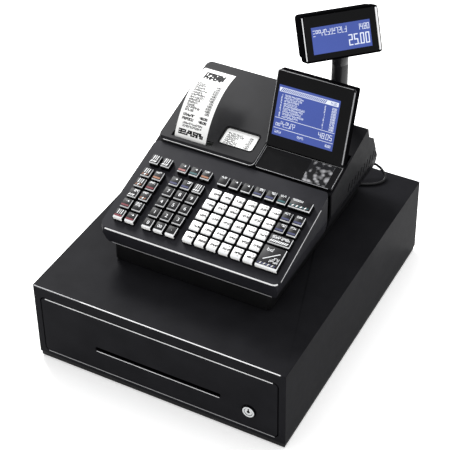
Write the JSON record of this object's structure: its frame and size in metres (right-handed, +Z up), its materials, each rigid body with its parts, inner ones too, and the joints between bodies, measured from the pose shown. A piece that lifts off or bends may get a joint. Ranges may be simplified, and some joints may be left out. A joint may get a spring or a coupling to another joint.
{
  "type": "cash register",
  "caption": "Electronic cash register on a wide steel cash drawer, with sloping keyboard, printer cover, tilting operator display and customer display on a mast.",
  "frame": {"origin": "centre of the bounding box in plan, on the floor under the drawer's feet", "axes": "+Z up, the drawer front and keyboard face -Y, +X is to the right of someone standing in front"},
  "size_m": [0.4, 0.473, 0.4505],
  "materials": {
    "powder_steel": "fine black powder coat",
    "zinc_steel": "bright zinc plate",
    "rubber_black": "matt",
    "chrome_plate": "polished chrome",
    "till_plastic": "fine grain",
    "case_plastic": "fine moulded grain, charcoal",
    "cover_plastic": "satin charcoal",
    "black_gloss": "piano black",
    "window_clear": "clear lens",
    "board_green": "solder mask",
    "lamination": "transformer stack",
    "paper_white": "thermal paper",
    "key_dark": "black cap with a clear top",
    "key_white": "white cap with a clear top",
    "cable_jacket": "satin PVC jacket",
    "spool_plastic": "grey"
  },
  "bodies": {
    "chassis": {"drawer_housing": "powder_steel", "drawer_base": "powder_steel", "rubber_feet": "rubber_black", "fixed_rails": "zinc_steel", "latch_solenoid": "zinc_steel", "base_case": "case_plastic", "keyboard_case": "case_plastic", "rear_case": "case_plastic", "rear_panel": "zinc_steel", "main_board": "board_green", "keyboard_board": "board_green", "power_supply": "lamination", "display_strip": "black_gloss", "printer_frame": "zinc_steel", "mast": "case_plastic", "drawer_cable": "cable_jacket", "cable_plug": "case_plastic", "cable_grommet": "rubber_black", "mains_inlet": "case_plastic", "case_screws": "zinc_steel"},
    "cash_drawer": {"drawer_box": "powder_steel", "drawer_front": "powder_steel", "moving_rails": "zinc_steel", "lock_barrel": "chrome_plate", "cash_till": "till_plastic", "coin_tray": "till_plastic"},
    "lock_cylinder": {"lock_plug": "chrome_plate"},
    "latch": {"latch_bolt": "zinc_steel"},
    "cover": {"printer_cover": "cover_plastic", "cover_window": "window_clear", "receipt_paper": "paper_white"},
    "platen": {"platen_roller": "rubber_black"},
    "receipt_supply": {"receipt_roll": "paper_white"},
    "journal_supply": {"journal_roll": "paper_white"},
    "journal_take_up": {"take_up_spool": "spool_plastic"},
    "operator_display": {"display_housing": "case_plastic", "display_glass": "black_gloss"},
    "display_neck": {"mast_neck": "case_plastic"},
    "customer_display": {"customer_housing": "case_plastic", "customer_glass": "black_gloss"},
    "clip_1": {"bill_clip_1": "zinc_steel"},
    "clip_2": {"bill_clip_2": "zinc_steel"},
    "clip_3": {"bill_clip_3": "zinc_steel"},
    "clip_4": {"bill_clip_4": "zinc_steel"},
    "digit_0": {"key_0": "key_dark"},
    "digit_1": {"key_1": "key_dark"},
    "digit_2": {"key_2": "key_dark"},
    "digit_3": {"key_3": "key_dark"},
    "digit_4": {"key_4": "key_dark"},
    "digit_5": {"key_5": "key_dark"},
    "digit_6": {"key_6": "key_dark"},
    "digit_7": {"key_7": "key_dark"},
    "digit_8": {"key_8": "key_dark"},
    "digit_9": {"key_9": "key_dark"},
    "cash": {"cash_key": "key_dark"},
    "subtotal": {"subtotal_key": "key_dark"},
    "receipt": {"receipt_key": "key_dark"},
    "clerk_block": {"clerk_keys": "key_dark"},
    "function_block": {"function_keys": "key_dark"},
    "department_block": {"department_keys": "key_white"}
  },
  "joints": [
    {"name": "drawer_slide", "type": "slide", "parent": "chassis", "child": "cash_drawer", "axis": [0, -1, 0], "range_m": [0, 0.33]},
    {"name": "lock_turn", "type": "hinge", "parent": "cash_drawer", "child": "lock_cylinder", "pos_m": [0.145, -0.2335, 0.0485], "axis": [0, 1, 0], "range_deg": [0, 90]},
    {"name": "latch_lift", "type": "slide", "parent": "chassis", "child": "latch", "axis": [0, 0, 1], "range_m": [0, 0.008]},
    {"name": "clip_1_lift", "type": "hinge", "parent": "cash_drawer", "child": "clip_1", "pos_m": [-0.13331, 0.1905, 0.0792], "axis": [-1, 0, 0], "range_deg": [0, 42], "stiffness_Nm_per_rad": 0.02, "springref_deg": -34.38},
    {"name": "clip_2_lift", "type": "hinge", "parent": "cash_drawer", "child": "clip_2", "pos_m": [-0.04444, 0.1905, 0.0792], "axis": [-1, 0, 0], "range_deg": [0, 42], "stiffness_Nm_per_rad": 0.02, "springref_deg": -34.38},
    {"name": "clip_3_lift", "type": "hinge", "parent": "cash_drawer", "child": "clip_3", "pos_m": [0.04444, 0.1905, 0.0792], "axis": [-1, 0, 0], "range_deg": [0, 42], "stiffness_Nm_per_rad": 0.02, "springref_deg": -34.38},
    {"name": "clip_4_lift", "type": "hinge", "parent": "cash_drawer", "child": "clip_4", "pos_m": [0.13331, 0.1905, 0.0792], "axis": [-1, 0, 0], "range_deg": [0, 42], "stiffness_Nm_per_rad": 0.02, "springref_deg": -34.38},
    {"name": "cover_hinge", "type": "hinge", "parent": "chassis", "child": "cover", "pos_m": [-0.057, 0.17379, 0.28387], "axis": [-1, 0, 0], "range_deg": [0, 75]},
    {"name": "platen_spin", "type": "hinge", "parent": "chassis", "child": "platen", "pos_m": [-0.057, 0.04385, 0.2356], "axis": [1, 0, 0], "continuous": true},
    {"name": "receipt_roll_spin", "type": "hinge", "parent": "chassis", "child": "receipt_supply", "pos_m": [-0.093, 0.09978, 0.22781], "axis": [1, 0, 0], "continuous": true},
    {"name": "journal_roll_spin", "type": "hinge", "parent": "chassis", "child": "journal_supply", "pos_m": [-0.026, 0.09978, 0.22781], "axis": [1, 0, 0], "continuous": true},
    {"name": "take_up_spin", "type": "hinge", "parent": "chassis", "child": "journal_take_up", "pos_m": [-0.025, 0.14652, 0.24654], "axis": [1, 0, 0], "continuous": true},
    {"name": "display_tilt", "type": "hinge", "parent": "chassis", "child": "operator_display", "pos_m": [0.082, 0.07572, 0.25096], "axis": [-1, 0, 0], "range_deg": [-10, 12]},
    {"name": "customer_swivel", "type": "hinge", "parent": "chassis", "child": "display_neck", "pos_m": [0.089, 0.1645, 0.367], "axis": [0, 0, 1], "range_deg": [-150, 130]},
    {"name": "customer_tilt", "type": "hinge", "parent": "display_neck", "child": "customer_display", "pos_m": [0.089, 0.1645, 0.4005], "axis": [-0.7193, -0.6947, 0], "range_deg": [-15, 12]},
    {"name": "digit_0_press", "type": "slide", "parent": "chassis", "child": "digit_0", "axis": [0, 0.2588, -0.9659], "range_m": [0, 0.0035], "stiffness_N_per_m": 150, "springref_m": -0.003},
    {"name": "digit_1_press", "type": "slide", "parent": "chassis", "child": "digit_1", "axis": [0, 0.2588, -0.9659], "range_m": [0, 0.0035], "stiffness_N_per_m": 150, "springref_m": -0.003},
    {"name": "digit_2_press", "type": "slide", "parent": "chassis", "child": "digit_2", "axis": [0, 0.2588, -0.9659], "range_m": [0, 0.0035], "stiffness_N_per_m": 150, "springref_m": -0.003},
    {"name": "digit_3_press", "type": "slide", "parent": "chassis", "child": "digit_3", "axis": [0, 0.2588, -0.9659], "range_m": [0, 0.0035], "stiffness_N_per_m": 150, "springref_m": -0.003},
    {"name": "digit_4_press", "type": "slide", "parent": "chassis", "child": "digit_4", "axis": [0, 0.2588, -0.9659], "range_m": [0, 0.0035], "stiffness_N_per_m": 150, "springref_m": -0.003},
    {"name": "digit_5_press", "type": "slide", "parent": "chassis", "child": "digit_5", "axis": [0, 0.2588, -0.9659], "range_m": [0, 0.0035], "stiffness_N_per_m": 150, "springref_m": -0.003},
    {"name": "digit_6_press", "type": "slide", "parent": "chassis", "child": "digit_6", "axis": [0, 0.2588, -0.9659], "range_m": [0, 0.0035], "stiffness_N_per_m": 150, "springref_m": -0.003},
    {"name": "digit_7_press", "type": "slide", "parent": "chassis", "child": "digit_7", "axis": [0, 0.2588, -0.9659], "range_m": [0, 0.0035], "stiffness_N_per_m": 150, "springref_m": -0.003},
    {"name": "digit_8_press", "type": "slide", "parent": "chassis", "child": "digit_8", "axis": [0, 0.2588, -0.9659], "range_m": [0, 0.0035], "stiffness_N_per_m": 150, "springref_m": -0.003},
    {"name": "digit_9_press", "type": "slide", "parent": "chassis", "child": "digit_9", "axis": [0, 0.2588, -0.9659], "range_m": [0, 0.0035], "stiffness_N_per_m": 150, "springref_m": -0.003},
    {"name": "cash_press", "type": "slide", "parent": "chassis", "child": "cash", "axis": [0, 0.2588, -0.9659], "range_m": [0, 0.0035], "stiffness_N_per_m": 250, "springref_m": -0.003},
    {"name": "subtotal_press", "type": "slide", "parent": "chassis", "child": "subtotal", "axis": [0, 0.2588, -0.9659], "range_m": [0, 0.0035], "stiffness_N_per_m": 200, "springref_m": -0.003},
    {"name": "receipt_press", "type": "slide", "parent": "chassis", "child": "receipt", "axis": [0, 0.2588, -0.9659], "range_m": [0, 0.0035], "stiffness_N_per_m": 200, "springref_m": -0.003},
    {"name": "clerk_block_press", "type": "slide", "parent": "chassis", "child": "clerk_block", "axis": [0, 0.2588, -0.9659], "range_m": [0, 0.0035], "stiffness_N_per_m": 1200, "springref_m": -0.003},
    {"name": "function_block_press", "type": "slide", "parent": "chassis", "child": "function_block", "axis": [0, 0.2588, -0.9659], "range_m": [0, 0.0035], "stiffness_N_per_m": 1200, "springref_m": -0.003},
    {"name": "department_block_press", "type": "slide", "parent": "chassis", "child": "department_block", "axis": [0, 0.2588, -0.9659], "range_m": [0, 0.0035], "stiffness_N_per_m": 3000, "springref_m": -0.003}
  ],
  "couplings": [
    {"joint": "receipt_roll_spin", "follows": "platen_spin", "ratio": -0.2222},
    {"joint": "journal_roll_spin", "follows": "platen_spin", "ratio": -0.2222},
    {"joint": "take_up_spin", "follows": "platen_spin", "ratio": 0.6667}
  ]
}
